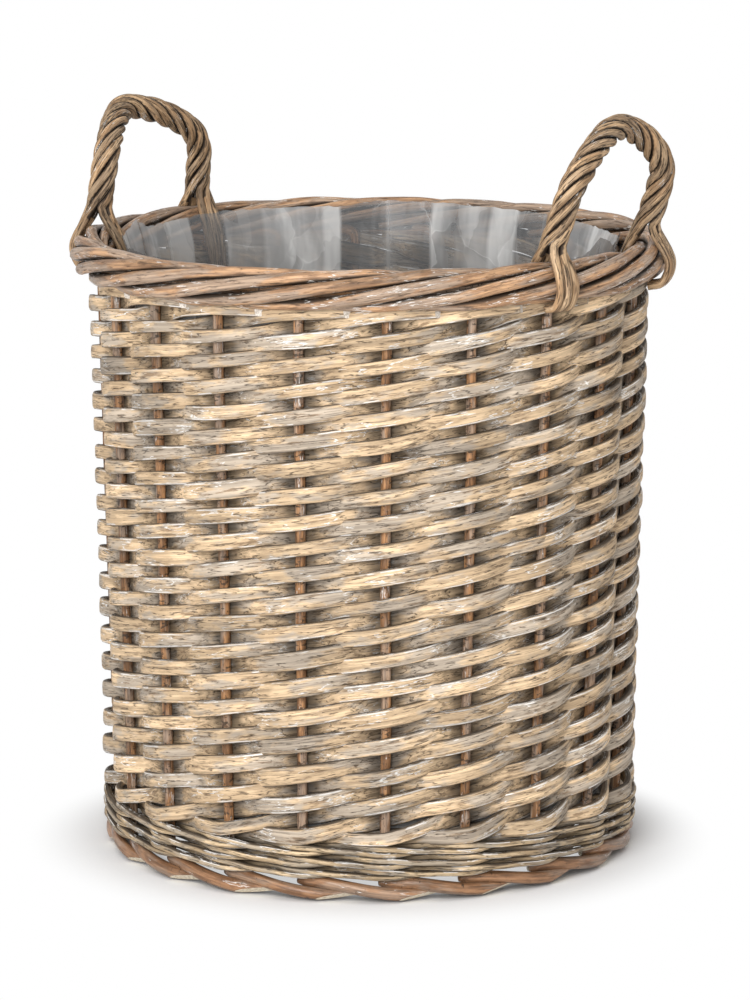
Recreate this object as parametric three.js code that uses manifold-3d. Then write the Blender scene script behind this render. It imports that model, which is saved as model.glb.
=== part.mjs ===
// Round wicker planter with a rolled border, two roped handles and a film liner.
// Millimetres, +Z up, floor at z = 0, the two handles near +X and -X.
import * as THREE from 'three';
import { mergeVertices } from 'three/addons/utils/BufferGeometryUtils.js';
import Module from 'manifold-3d';

const wasm = await Module();
wasm.setup();

// Ring of side stakes
const stakeCount = 20;
const stakeDiameter = 6.7;
const stakeCircleLow = 168.8;
const stakeCircleHigh = 178.5;
const stakeSeatGap = 0.55;
const stakeStraightLength = 3.2; // above the last row
const stakeSides = 5;

// Weave of the wall
const rowCount = 40;
const settlingRows = 2;
const firstRowHeight = 4; // above the top row of the wale
const firstRowDepth = 4;
const secondRowHeight = 2.4; // above the first row
const secondRowDepth = 5.6;
const thirdRowHeight = 12.8; // above the second row
const lowestRowPitch = 9.75;
const highestRowPitch = 7.9;
const weaverThickness = 6;
const weaverRowGap = 0.6;
const weaverClearance = 0.55;
const weaverLowTail = 0.26; // in spaces between stakes
const weaverTopTail = 0.65; // in spaces between stakes
const weaverTailOffset = 1.7; // outside the stake circle
const weaverTailRise = 3.7; // above the last row
const weaverTailDepth = 4;

// Rolled border made of the stakes' tips
const borderRingOffset = 7.9; // outside the stake circle
const borderHeight = 18.3; // above the last row
const borderStrandDiameter = 8.1;
const borderStrandGap = 0.65;
const borderStartAngle = -118;
const borderAnglePerStake = 62;
const borderStakesSpanned = 4.6;
const borderStepsPerStake = 3;
const borderEntry = 0.22; // in spaces between stakes
const borderKneeOffset = 2.3; // outside the stake circle
const borderKneeDepth = 8.8; // below the middle of the border
const borderKneeSteps = 3;

// Upsett wale at the foot of the wall
const waleRods = 3;
const waleRodHeight = 3.6;
const waleRodDepth = 5.5;
const waleRowGap = 0.2;
const waleSeatGap = 0.6;
const waleRounds = 3;
const waleClearance = 0.5;
const waleClimb = 3;
const waleFirstStake = 8; // at the back

// Foot border
const footRingOffset = 1.6; // outside the stake circle
const footLayRadius = 4.4;
const footRodDiameter = 8.4;
const footStartAngle = 140;
const footEndAngle = -62;
const footStakesSpanned = 1.6;
const footSteps = 6;
const footSides = 6;
const footFlatDepth = 0.5;

// Base
const baseSeatGap = 1.05;
const baseStickDiameter = 8;
const baseStickSides = 6;
const baseCrossGap = 0.4;
const baseEndGap = 0.9;
const baseOpenRadius = 40;
const baseParallelLength = 20;
const lowerSticks = 2;
const lowerStickSpacing = 12;
const upperSticks = 3;
const upperStickSpacing = 11;
const baseWeaverCount = 2;
const baseWeaverWidth = 8.2;
const baseWeaverThickness = 5.2;
const baseWeaverGap = 1;
const baseWeaverInset = 12; // from where the sticks open out
const baseRimWidth = 5.9;
const baseWeaverClearance = 0.6;

// Roped handles
const handleStrands = 4;
const handleStrandDiameter = 6.4;
const handleStrandGap = 1.2;
const handleTurns = 3;
const handleStepsPerTurn = 8;
const handleSides = 5;
const handleFootOffset = -2; // outside the middle of the border
const handleFootGap = 8; // above the border
const handleShoulderHalfWidth = 56.2;
const handleFlareWidth = 5.05; // from the shoulder out to the rope's foot
const handleShoulderHeight = 42.5; // above the rope's foot
const handleLegClearance = 0.5;
const handleLegLength = 62.4; // below the middle of the border
const handleHookGap = 0.75;
const handleHookOffset = 5.5; // outside the middle of the border

// Each handle's own lean and height: offsets outside the middle of the border, height above the shoulders
const handleABearing = 0;
const handleAShoulderOffset = 3.4;
const handleATopOffset = 3;
const handleATopHeight = 30;
const handleBBearing = 181.8;
const handleBShoulderOffset = -13.2;
const handleBTopOffset = 5.5;
const handleBTopHeight = 22.3;

// Film liner
const linerClearance = 0.6;
const linerWall = 1;
const linerHeight = 9.5; // above the middle of the border
const linerSeatGap = 0.4;
const linerSegments = 32;

const materials = {
  weaver: { color: 0xa08a68, roughness: 0.8 },
  stake: { color: 0x8a5a34, roughness: 0.7 },
  wale: { color: 0x8f7750, roughness: 0.8 },
  foot: { color: 0x9a6638, roughness: 0.6 },
  base: { color: 0x94764e, roughness: 0.8 },
  handle: { color: 0x6f5a40, roughness: 0.75 },
  liner: { color: 0x9a9a9a, roughness: 0.35 },
};

const fullTurn = 360;
const quarterTurn = fullTurn / 4;
const pitch = fullTurn / stakeCount;
const upright = new THREE.Vector3(0, 0, 1);
const part = new THREE.Group();
part.name = 'wicker_planter';

function polar(radius, bearing, height) {
  const angle = THREE.MathUtils.degToRad(bearing);
  return new THREE.Vector3(radius * Math.cos(angle), radius * Math.sin(angle), height);
}

function radial(bearing) {
  return polar(1, bearing, 0);
}

function cosine(degrees) {
  return Math.cos(THREE.MathUtils.degToRad(degrees));
}

function sine(degrees) {
  return Math.sin(THREE.MathUtils.degToRad(degrees));
}

function addPiece(name, geometry, finish) {
  const material = new THREE.MeshStandardMaterial({ ...materials[finish], metalness: 0 });
  const mesh = new THREE.Mesh(geometry, material);
  mesh.name = name;
  part.add(mesh);
}

function numbered(stem, index) {
  return `${stem}_${String(index + 1).padStart(2, '0')}`;
}

// Direction of travel at each point of a path
function tangentsOf(points) {
  return points.map((point, i) => {
    const before = points[Math.max(i - 1, 0)];
    const after = points[Math.min(i + 1, points.length - 1)];
    const arriving = point.clone().sub(before).normalize();
    const leaving = after.clone().sub(point).normalize();
    return arriving.add(leaving).normalize();
  });
}

// Closed solid over a row of rings that all have the same number of corners
function solidOverRings(rings) {
  const corners = rings[0].length;
  const index = [];
  for (let i = 0; i < rings.length - 1; i += 1) {
    for (let s = 0; s < corners; s += 1) {
      const here = i * corners + s;
      const next = i * corners + ((s + 1) % corners);
      index.push(here, next, here + corners);
      index.push(next, next + corners, here + corners);
    }
  }
  const last = (rings.length - 1) * corners;
  for (let s = 1; s < corners - 1; s += 1) {
    index.push(0, s + 1, s);
    index.push(last, last + s, last + s + 1);
  }
  const geometry = new THREE.BufferGeometry();
  geometry.setFromPoints(rings.flat());
  geometry.setIndex(index);
  return geometry;
}

// Round rod along a path, with its own radius at each point
function roundRod(points, radii, sides) {
  const tangents = tangentsOf(points);
  const side = new THREE.Vector3().crossVectors(tangents[0], upright);
  if (side.lengthSq() < Number.EPSILON) {
    side.set(1, 0, 0);
  }
  side.normalize();
  const turn = new THREE.Quaternion();
  const rings = points.map((point, i) => {
    if (i > 0) {
      turn.setFromUnitVectors(tangents[i - 1], tangents[i]);
      side.applyQuaternion(turn);
    }
    const across = new THREE.Vector3().crossVectors(tangents[i], side);
    return Array.from({ length: sides }, (unused, s) => {
      const angle = (fullTurn * s) / sides;
      const corner = point.clone().addScaledVector(side, radii[i] * cosine(angle));
      return corner.addScaledVector(across, radii[i] * sine(angle));
    });
  });
  return solidOverRings(rings);
}

// Flat rod round the basket: one face outward, set upright, with its own height at each point
function flatRod(points, bearings, thickness, heights) {
  const tangents = tangentsOf(points);
  const rings = points.map((point, i) => {
    const outward = radial(bearings[i]);
    const up = new THREE.Vector3().crossVectors(outward, tangents[i]).normalize();
    const corners = [[1, -1], [-1, -1], [-1, 1], [1, 1]];
    return corners.map(([out, rise]) => {
      const corner = point.clone().addScaledVector(outward, (out * thickness) / 2);
      return corner.addScaledVector(up, (rise * heights[i]) / 2);
    });
  });
  return solidOverRings(rings);
}

// Four-sided rod on edge, round the basket
function edgedRod(points, bearings, depth, height) {
  const tangents = tangentsOf(points);
  const rings = points.map((point, i) => {
    const outward = radial(bearings[i]);
    const up = new THREE.Vector3().crossVectors(outward, tangents[i]).normalize();
    const corners = [[1, 0], [0, -1], [-1, 0], [0, 1]];
    return corners.map(([out, rise]) => {
      const corner = point.clone().addScaledVector(outward, (out * depth) / 2);
      return corner.addScaledVector(up, (rise * height) / 2);
    });
  });
  return solidOverRings(rings);
}

function toManifold(geometry) {
  return new wasm.Manifold(new wasm.Mesh({
    numProp: geometry.getAttribute('position').itemSize,
    vertProperties: new Float32Array(geometry.getAttribute('position').array),
    triVerts: new Uint32Array(geometry.getIndex().array),
  }));
}

function fromManifold(solid) {
  const mesh = solid.getMesh();
  const geometry = new THREE.BufferGeometry();
  geometry.setAttribute('position', new THREE.BufferAttribute(mesh.vertProperties, mesh.numProp));
  geometry.setIndex(new THREE.BufferAttribute(mesh.triVerts, 1));
  return geometry;
}

// Rods pressed into one ring: each starts inside on top and ends outside underneath
function footRing() {
  const ringRadius = stakeCircleLow + footRingOffset;
  let ring = null;
  for (let rod = 0; rod < stakeCount; rod += 1) {
    const points = [];
    const radii = [];
    for (let i = 0; i <= footSteps; i += 1) {
      const levelling = sine((quarterTurn * i) / footSteps);
      const angle = THREE.MathUtils.lerp(footStartAngle, footEndAngle, levelling);
      const bearing = (rod + (footStakesSpanned * i) / footSteps) * pitch;
      points.push(polar(ringRadius + footLayRadius * cosine(angle), bearing, footLayRadius * sine(angle)));
      radii.push(footRodDiameter / 2);
    }
    const piece = toManifold(roundRod(points, radii, footSides));
    ring = ring ? ring.add(piece) : piece;
  }
  ring = ring.translate([0, 0, -footFlatDepth - ring.boundingBox().min[2]]);
  const span = 2 * (ringRadius + footLayRadius + footRodDiameter);
  const floor = new THREE.BoxGeometry(span, span, footRodDiameter);
  floor.translate(0, 0, -footRodDiameter / 2);
  floor.deleteAttribute('normal');
  floor.deleteAttribute('uv');
  return ring.subtract(toManifold(mergeVertices(floor)));
}

// Heights from the floor up: each takes its place from what it stands on
const foot = footRing();
const footTop = foot.boundingBox().max[2];
const stakeLowEnd = footTop + stakeSeatGap;
const waleRowPitch = waleRodHeight + waleRowGap;
const waleLowestRow = footTop + waleSeatGap + waleRodHeight / 2;
const waleTopRow = waleLowestRow + (2 * waleRounds - 1) * waleRowPitch;
const baseSwing = (baseStickDiameter + baseWeaverThickness) / 2 + baseWeaverClearance;
const baseHeight = footTop + baseSeatGap + baseWeaverThickness / 2 + baseSwing;
const lastRowHeight = rowHeight(rowCount - 1);
const borderRingHeight = lastRowHeight + borderHeight;
const stakeBendStart = lastRowHeight + stakeStraightLength;

// Border and rope: the lay keeps neighbouring rods apart
const borderRingRadius = stakeCircleHigh + borderRingOffset;
const borderLayRadius = (borderStrandDiameter + borderStrandGap) / (2 * sine(borderAnglePerStake / 2));
const borderReach = borderLayRadius + borderStrandDiameter / 2;
const handleLegSpacing = handleStrandDiameter + handleStrandGap;
const handleLayRadius = handleLegSpacing / (2 * sine(fullTurn / (2 * handleStrands)));
const handleFootHeight = borderRingHeight + borderReach + handleFootGap;
const handleFootRadius = borderRingRadius + handleFootOffset;
const handleFlareAngle = Math.asin((handleShoulderHalfWidth + handleFlareWidth) / handleFootRadius);
const handleLegAngle = THREE.MathUtils.radToDeg(handleFlareAngle);

// The stake circle widens from the floor to the border
function stakeCircle(height) {
  return THREE.MathUtils.mapLinear(height, 0, borderRingHeight, stakeCircleLow, stakeCircleHigh);
}

function borderPoint(stake, stakesOn) {
  const angle = borderStartAngle + borderAnglePerStake * (stakesOn - borderEntry);
  const radius = borderRingRadius + borderLayRadius * cosine(angle);
  const height = borderRingHeight + borderLayRadius * sine(angle);
  return polar(radius, (stake + stakesOn) * pitch, height);
}

function buildStake(stake) {
  const bearing = stake * pitch;
  const points = [polar(stakeCircle(stakeLowEnd), bearing, stakeLowEnd)];
  const radii = [stakeDiameter / 2];
  const bend = new THREE.QuadraticBezierCurve3(
    polar(stakeCircle(stakeBendStart), bearing, stakeBendStart),
    polar(stakeCircleHigh + borderKneeOffset, bearing, borderRingHeight - borderKneeDepth),
    borderPoint(stake, borderEntry),
  );
  bend.getPoints(borderKneeSteps).forEach((point, i) => {
    points.push(point);
    radii.push(THREE.MathUtils.lerp(stakeDiameter, borderStrandDiameter, i / borderKneeSteps) / 2);
  });
  const steps = Math.round((borderStakesSpanned - borderEntry) * borderStepsPerStake);
  for (let i = 1; i <= steps; i += 1) {
    points.push(borderPoint(stake, borderEntry + i / borderStepsPerStake));
    radii.push(borderStrandDiameter / 2);
  }
  addPiece(numbered('stake', stake), roundRod(points, radii, stakeSides), 'stake');
}

// The first two rows settle onto the wale; from the third on the rows close up toward the top
function rowHeight(row) {
  const first = waleTopRow + firstRowHeight;
  const second = first + secondRowHeight;
  if (row < settlingRows) {
    return row === 0 ? first : second;
  }
  const above = row - settlingRows;
  const closing = (highestRowPitch - lowestRowPitch) / (2 * (rowCount - 1 - settlingRows));
  return second + thirdRowHeight + above * lowestRowPitch + above * above * closing;
}

// Height of the rod's own section in a row, square to its climb
function rowDepth(row) {
  if (row < settlingRows) {
    return row === 0 ? firstRowDepth : secondRowDepth;
  }
  const rise = THREE.MathUtils.mapLinear(row, settlingRows, rowCount - 1, lowestRowPitch, highestRowPitch);
  const run = stakeCircle(rowHeight(row)) * THREE.MathUtils.degToRad(pitch);
  return (rise * run) / Math.hypot(rise, run) - weaverRowGap;
}

// Even rows pass inside the stake, odd rows pass outside it
function buildWeaver(weaver) {
  const reach = stakeDiameter / 2 + weaverClearance + weaverThickness / 2;
  const points = [];
  const bearings = [];
  const depths = [];
  const addPoint = (row, turn, offset) => {
    const bearing = (weaver + row + turn) * pitch;
    points.push(polar(stakeCircle(rowHeight(row)) + offset, bearing, rowHeight(row)));
    bearings.push(bearing);
    depths.push(rowDepth(row));
  };
  addPoint(0, -weaverLowTail, -reach);
  for (let row = 0; row < rowCount; row += 1) {
    addPoint(row, 0, row % 2 === 0 ? -reach : reach);
  }
  const tailHeight = rowHeight(rowCount - 1) + weaverTailRise;
  const tailBearing = (weaver + rowCount - 1 + weaverTopTail) * pitch;
  points.push(polar(stakeCircle(tailHeight) + weaverTailOffset, tailBearing, tailHeight));
  bearings.push(tailBearing);
  depths.push(weaverTailDepth);
  const geometry = flatRod(points, bearings, weaverThickness, depths);
  addPiece(numbered('weaver', weaver), geometry, 'weaver');
}

// Level of the wale at a stake: flat for most of a round, then a climb to the next
function waleLevel(stake) {
  const round = Math.floor(stake / stakeCount);
  const along = stake - round * stakeCount;
  const climbed = Math.max(0, along - (stakeCount - waleClimb)) / waleClimb;
  return waleLowestRow + (round + climbed) * 2 * waleRowPitch;
}

// Each rod goes over two stakes and behind the third
function buildWaleRod(rod) {
  const reach = stakeDiameter / 2 + waleClearance + waleRodDepth / 2;
  const points = [];
  const bearings = [];
  const lastStake = waleRounds * stakeCount - waleClimb;
  for (let stake = rod; stake <= lastStake; stake += 1) {
    const phase = (stake - rod) % waleRods;
    const level = waleLevel(stake);
    const midLevel = (waleLevel(stake) + waleLevel(stake + 1)) / 2;
    const across = [-reach, reach, reach][phase];
    const rise = [waleRowPitch / 2, waleRowPitch, 0][phase];
    const bearing = (waleFirstStake + stake) * pitch;
    points.push(polar(stakeCircle(level) + across, bearing, level + rise));
    bearings.push(bearing);
    const midAcross = [0, reach, 0][phase];
    const midRise = [waleRowPitch, waleRowPitch / 2, 0][phase];
    if (stake < lastStake) {
      const midBearing = bearing + pitch / 2;
      points.push(polar(stakeCircle(level) + midAcross, midBearing, midLevel + midRise));
      bearings.push(midBearing);
    }
  }
  addPiece(numbered('wale_rod', rod), edgedRod(points, bearings, waleRodDepth, waleRodHeight), 'wale');
}

// Radius of the sticks' ends, just inside the wale
function baseEndRadius() {
  return stakeCircle(baseHeight) - stakeDiameter / 2 - waleClearance - waleRodDepth - baseEndGap;
}

// Two low sticks and three laid across them, all opened out to even bearings
function buildBaseSticks() {
  const endPitch = (2 * fullTurn) / stakeCount;
  const lift = (baseStickDiameter + baseCrossGap) / 2;
  const sticks = [];
  for (let i = 0; i < lowerSticks; i += 1) {
    const side = 1 - 2 * i;
    const from = (side * endPitch) / 2;
    const y = (side * lowerStickSpacing) / 2;
    const near = new THREE.Vector3(baseParallelLength, y, baseHeight - lift);
    const far = new THREE.Vector3(-baseParallelLength, y, baseHeight - lift);
    sticks.push([from, side * (2 * quarterTurn) - from, near, far]);
  }
  for (let i = 0; i < upperSticks; i += 1) {
    const from = (i + 1 + 1 / 2) * endPitch;
    const x = (1 - i) * upperStickSpacing;
    const near = new THREE.Vector3(x, baseParallelLength, baseHeight + lift);
    const far = new THREE.Vector3(x, -baseParallelLength, baseHeight + lift);
    sticks.push([from, -from, near, far]);
  }
  sticks.forEach(([from, to, near, far], i) => {
    const points = [
      polar(baseEndRadius(), from, baseHeight),
      polar(baseOpenRadius, from, baseHeight),
      near,
      far,
      polar(baseOpenRadius, to, baseHeight),
      polar(baseEndRadius(), to, baseHeight),
    ];
    const radii = points.map(() => baseStickDiameter / 2);
    addPiece(numbered('base_stick', i), roundRod(points, radii, baseStickSides), 'base');
  });
}

// Two rods chase each other outward, one over each stick end where the other goes under
function buildBaseWeaver(weaver) {
  const ends = stakeCount / 2;
  const endPitch = fullTurn / ends;
  const rowPitch = baseWeaverWidth + baseWeaverGap;
  const start = baseOpenRadius + baseWeaverInset + weaver * rowPitch;
  const room = baseEndRadius() - baseRimWidth - start;
  const steps = Math.floor((room / (baseWeaverCount * rowPitch)) * ends);
  const points = [];
  const bearings = [];
  for (let i = 0; i <= steps; i += 1) {
    const bearing = (i + 1 / 2) * endPitch;
    const radius = start + (i / ends) * baseWeaverCount * rowPitch;
    points.push(polar(radius, bearing, baseHeight + ((i + weaver) % 2 === 0 ? baseSwing : -baseSwing)));
    bearings.push(bearing);
  }
  const heights = points.map(() => baseWeaverThickness);
  addPiece(numbered('base_weaver', weaver), flatRod(points, bearings, baseWeaverWidth, heights), 'base');
}

// How far the middle of a leg stands inside the stake circle
function legInset() {
  const wall = stakeDiameter / 2 + weaverClearance + weaverThickness;
  return wall + handleLegClearance + handleStrandDiameter / 2;
}

// Path of one leg below the rope, outside or inside the border, from the rope down to its end
function legPoints(bearing, outside, sideways) {
  const strand = handleStrandDiameter / 2;
  const stand = borderReach + handleLegClearance + strand;
  const turn = THREE.MathUtils.radToDeg(sideways / borderRingRadius);
  const at = (radius, height) => polar(radius, bearing + turn, height);
  if (outside) {
    const radius = borderRingRadius + stand;
    const hookRadius = borderRingRadius + handleHookOffset;
    const hookHeight = borderRingHeight - borderReach - handleHookGap - strand;
    return [
      at(radius, borderRingHeight + handleStrandDiameter),
      at(radius, borderRingHeight - handleStrandDiameter),
      at((radius + hookRadius + strand) / 2, hookHeight + strand / 2),
      at(hookRadius, hookHeight),
    ];
  }
  const radius = borderRingRadius - stand;
  const knee = lastRowHeight + highestRowPitch / 2;
  const low = borderRingHeight - handleLegLength;
  return [
    at(radius, borderRingHeight + handleStrandDiameter),
    at(radius, borderRingHeight - handleStrandDiameter),
    at(stakeCircle(knee) - legInset(), knee),
    at(stakeCircle(low) - legInset(), low),
  ];
}

// Four rods twisted right-handed along an arch; two of each end go inside, two outside
function buildHandle({ name, bearing, shoulderOffset, topOffset, topHeight }) {
  const shoulderHeight = handleFootHeight + handleShoulderHeight;
  const shoulder = polar(borderRingRadius + shoulderOffset, bearing, shoulderHeight);
  const sideways = radial(bearing + quarterTurn).multiplyScalar(handleShoulderHalfWidth);
  const arch = new THREE.CatmullRomCurve3([
    polar(handleFootRadius, bearing - handleLegAngle, handleFootHeight),
    shoulder.clone().sub(sideways),
    polar(borderRingRadius + topOffset, bearing, shoulderHeight + topHeight),
    shoulder.clone().add(sideways),
    polar(handleFootRadius, bearing + handleLegAngle, handleFootHeight),
  ], false, 'centripetal');
  const steps = handleTurns * handleStepsPerTurn;
  const centres = arch.getSpacedPoints(steps);
  const tangents = Array.from({ length: steps + 1 }, (unused, i) => arch.getTangentAt(i / steps));
  for (let strand = 0; strand < handleStrands; strand += 1) {
    const share = fullTurn / handleStrands;
    const first = (strand + 1 / 2) * share;
    const outside = cosine(first) > 0;
    const legShift = (Math.sign(sine(first)) * handleLegSpacing) / 2;
    const rope = centres.map((centre, i) => {
      const outward = new THREE.Vector3(centre.x, centre.y, 0);
      const across = new THREE.Vector3().crossVectors(tangents[i], outward).normalize();
      const out = new THREE.Vector3().crossVectors(across, tangents[i]);
      const angle = first + (fullTurn * i) / handleStepsPerTurn;
      const point = centre.clone().addScaledVector(out, handleLayRadius * cosine(angle));
      return point.addScaledVector(across, handleLayRadius * sine(angle));
    });
    const points = [
      ...legPoints(bearing - handleLegAngle, outside, legShift).reverse(),
      ...rope,
      ...legPoints(bearing + handleLegAngle, outside, -legShift),
    ];
    const radii = points.map(() => handleStrandDiameter / 2);
    addPiece(numbered(`${name}_strand`, strand), roundRod(points, radii, handleSides), 'handle');
  }
}

// Straight cup of film, standing on the base inside the wall and the handles' legs
function buildLiner() {
  const seat = baseHeight + baseSwing + baseWeaverThickness / 2 + linerSeatGap;
  const top = borderRingHeight + linerHeight;
  const wallFace = stakeCircle(seat) - stakeDiameter / 2 - weaverClearance - weaverThickness;
  const legFace = stakeCircle(borderRingHeight - handleLegLength) - legInset() - handleStrandDiameter / 2;
  const radius = Math.min(wallFace, legFace) - linerClearance;
  const profile = [
    new THREE.Vector2(0, seat),
    new THREE.Vector2(radius, seat),
    new THREE.Vector2(radius, top),
    new THREE.Vector2(radius - linerWall, top),
    new THREE.Vector2(radius - linerWall, seat + linerWall),
    new THREE.Vector2(0, seat + linerWall),
  ];
  const geometry = new THREE.LatheGeometry(profile, linerSegments);
  geometry.rotateX(Math.PI / 2);
  addPiece('liner', geometry, 'liner');
}

for (let i = 0; i < stakeCount; i += 1) {
  buildStake(i);
}
for (let i = 0; i < stakeCount; i += 1) {
  buildWeaver(i);
}
for (let i = 0; i < waleRods; i += 1) {
  buildWaleRod(i);
}
addPiece('foot_border', fromManifold(foot), 'foot');
buildBaseSticks();
for (let i = 0; i < baseWeaverCount; i += 1) {
  buildBaseWeaver(i);
}
buildHandle({
  name: 'handle_a',
  bearing: handleABearing,
  shoulderOffset: handleAShoulderOffset,
  topOffset: handleATopOffset,
  topHeight: handleATopHeight,
});
buildHandle({
  name: 'handle_b',
  bearing: handleBBearing,
  shoulderOffset: handleBShoulderOffset,
  topOffset: handleBTopOffset,
  topHeight: handleBTopHeight,
});
buildLiner();

export default part;
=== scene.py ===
import math
import random

import bmesh
import bpy
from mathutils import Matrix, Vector, noise


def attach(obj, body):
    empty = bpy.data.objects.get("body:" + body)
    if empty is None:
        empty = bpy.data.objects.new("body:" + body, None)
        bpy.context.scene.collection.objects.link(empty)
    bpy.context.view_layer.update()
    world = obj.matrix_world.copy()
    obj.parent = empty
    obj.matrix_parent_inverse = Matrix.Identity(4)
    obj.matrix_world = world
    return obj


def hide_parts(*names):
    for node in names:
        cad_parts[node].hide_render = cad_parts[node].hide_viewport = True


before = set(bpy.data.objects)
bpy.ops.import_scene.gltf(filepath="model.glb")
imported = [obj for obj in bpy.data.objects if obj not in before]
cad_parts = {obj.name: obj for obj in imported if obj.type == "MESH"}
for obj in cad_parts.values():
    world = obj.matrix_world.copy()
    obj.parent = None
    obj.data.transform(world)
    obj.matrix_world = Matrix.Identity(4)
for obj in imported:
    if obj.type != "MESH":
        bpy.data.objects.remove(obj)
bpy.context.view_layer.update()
print("frame loaded:", len(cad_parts), "nodes")

basket = {
    "stakes": 20,
    "pitch": 18.0,  # degrees from stake to stake
    "circleLow": 168.8,  # stake circle at the floor, mm
    "circleHigh": 178.5,  # and at the border
    "stakeRadius": 3.35,
    "ringRadius": 186.4,  # centre of the rolled border
    "ringHeight": 400.6,
    "seed": 7,
}


def polar(radius, bearing, height):
    turn = math.radians(bearing)
    return Vector((radius * math.cos(turn), radius * math.sin(turn), height)) * 0.001


def mixed(low, high, share):
    return low + (high - low) * share


def eased(share):
    return share * share * (3 - 2 * share)


def stakeCircle(height):
    return mixed(basket["circleLow"], basket["circleHigh"], height / basket["ringHeight"])


def wander(place, seed, amount):  # slow, repeatable wobble
    return amount * noise.noise(Vector((place, seed * 3.7, seed * 1.3)))


def placed(name, data):
    thing = bpy.data.objects.new(name, data)
    bpy.context.scene.collection.objects.link(thing)
    return thing


# Camera

cameraSetup = {
    "azimuth": 32.6,
    "distance": 3.0769,
    "height": 0.8162,
    "sideways": 0.00344,
    "pitch": 0.1878,
    "lens": 167.8,
}


def placeCamera(setup):
    data = bpy.data.cameras.new("photoCamera")
    data.lens = setup["lens"]
    data.sensor_width = 36
    camera = placed("photoCamera", data)
    turn = math.radians(setup["azimuth"])
    side, back = setup["sideways"], -setup["distance"]
    camera.location = (
        side * math.cos(turn) - back * math.sin(turn),
        side * math.sin(turn) + back * math.cos(turn),
        setup["height"],
    )
    camera.rotation_euler = (math.pi / 2 - setup["pitch"], 0, turn)
    bpy.context.scene.camera = camera


placeCamera(cameraSetup)
print("camera placed")


# Shader wires: a socket that takes part in expressions


class Wire:
    def __init__(self, tree, socket=None):
        self.tree = tree
        self.socket = socket

    def make(self, kind, settings=None, sockets=None, out=0):
        node = self.tree.nodes.new("ShaderNode" + kind)
        for key, value in (settings or {}).items():
            setattr(node, key, value)
        for key, value in (sockets or {}).items():
            if isinstance(value, Wire):
                self.tree.links.new(value.socket, node.inputs[key])
            else:
                node.inputs[key].default_value = value
        return Wire(self.tree, node.outputs[out] if len(node.outputs) else None)

    def attribute(self, name, out=2):  # out 1 is a vector, 2 a value
        return self.make("Attribute", {"attribute_name": name}, out=out)

    def maths(self, operation, first, second):
        return self.make("Math", {"operation": operation}, {0: first, 1: second})

    def __add__(self, other):
        return self.maths("ADD", self, other)

    def __radd__(self, other):
        return self.maths("ADD", other, self)

    def __sub__(self, other):
        return self.maths("SUBTRACT", self, other)

    def __rsub__(self, other):
        return self.maths("SUBTRACT", other, self)

    def __mul__(self, other):
        return self.maths("MULTIPLY", self, other)

    def __rmul__(self, other):
        return self.maths("MULTIPLY", other, self)

    def between(self, low, high):  # 0 below low, 1 above high
        settings = {"interpolation_type": "SMOOTHSTEP"}
        return self.make("MapRange", settings, {0: self, 1: low, 2: high, 3: 0.0, 4: 1.0})

    def larger(self, other):
        return self.maths("MAXIMUM", self, other)

    def ridge(self, width):  # 1 along the lines where a cloud is at its middle
        off = self.make("Math", {"operation": "ABSOLUTE"}, {0: self - 0.5})
        return 1 - off.between(0.0, width)

    def blend(self, under, over):  # this value is the share of the second colour
        return self.make("Mix", {"data_type": "RGBA"}, {0: self, 6: under, 7: over}, out=2)

    def shaded(self, share):  # this colour, darker
        settings = {"operation": "SCALE"}
        return self.make("VectorMath", settings, {0: self, "Scale": share})

    def stretched(self, scale, shift=(0, 0, 0)):
        sockets = {0: self, 1: scale, 2: shift}
        return self.make("VectorMath", {"operation": "MULTIPLY_ADD"}, sockets)

    def cells(self, feature, out=0):
        return self.make("TexVoronoi", {"feature": feature}, {"Vector": self, "Scale": 1.0}, out)

    def cloud(self, detail=3.0, roughness=0.55):
        sockets = {"Vector": self, "Scale": 1.0, "Detail": detail, "Roughness": roughness}
        return self.make("TexNoise", {}, sockets)


def newMaterial(name):
    material = bpy.data.materials.new(name)
    material.use_nodes = True
    material.node_tree.nodes.clear()
    return material, Wire(material.node_tree)


def finishMaterial(start, shader):
    start.make("OutputMaterial", {}, {"Surface": shader})


def rgb(red, green, blue):
    return (red, green, blue, 1.0)


# Bark of the rods: each look is one kind of rod

weaverLook = {
    "pale": rgb(0.70, 0.51, 0.318),
    "mid": rgb(0.54, 0.385, 0.235),
    "grey": rgb(0.43, 0.365, 0.295),
    "brown": rgb(0.20, 0.13, 0.075),
    "dark": rgb(0.05, 0.034, 0.022),
    "wash": rgb(0.92, 0.90, 0.87),
    "greyShare": 0.85,
    "brownShare": 0.8,
    "crackShare": 0.85,
    "crackWidth": 0.026,
    # painted shade where rods meet their neighbours
    "edgeShare": 0.9,
    "edge": (0.70, 1.0),
    "rimShare": 0.75,  # pale wash caught along the edges
    "markFrom": 0.90,
    "washFrom": 0.56,
    "shadow": 0.20,  # how dark a rod's colour goes: darker from rod to rod, and painted shade where it is tucked in
    "roughness": (0.55, 0.85),
    "bump": 0.8,
}
waleLook = dict(
    weaverLook,
    pale=rgb(0.60, 0.45, 0.28),
    mid=rgb(0.37, 0.265, 0.155),
    grey=rgb(0.31, 0.26, 0.20),
    # painted shade where the wale rods meet
    edge=(0.50, 0.90),
)
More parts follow.
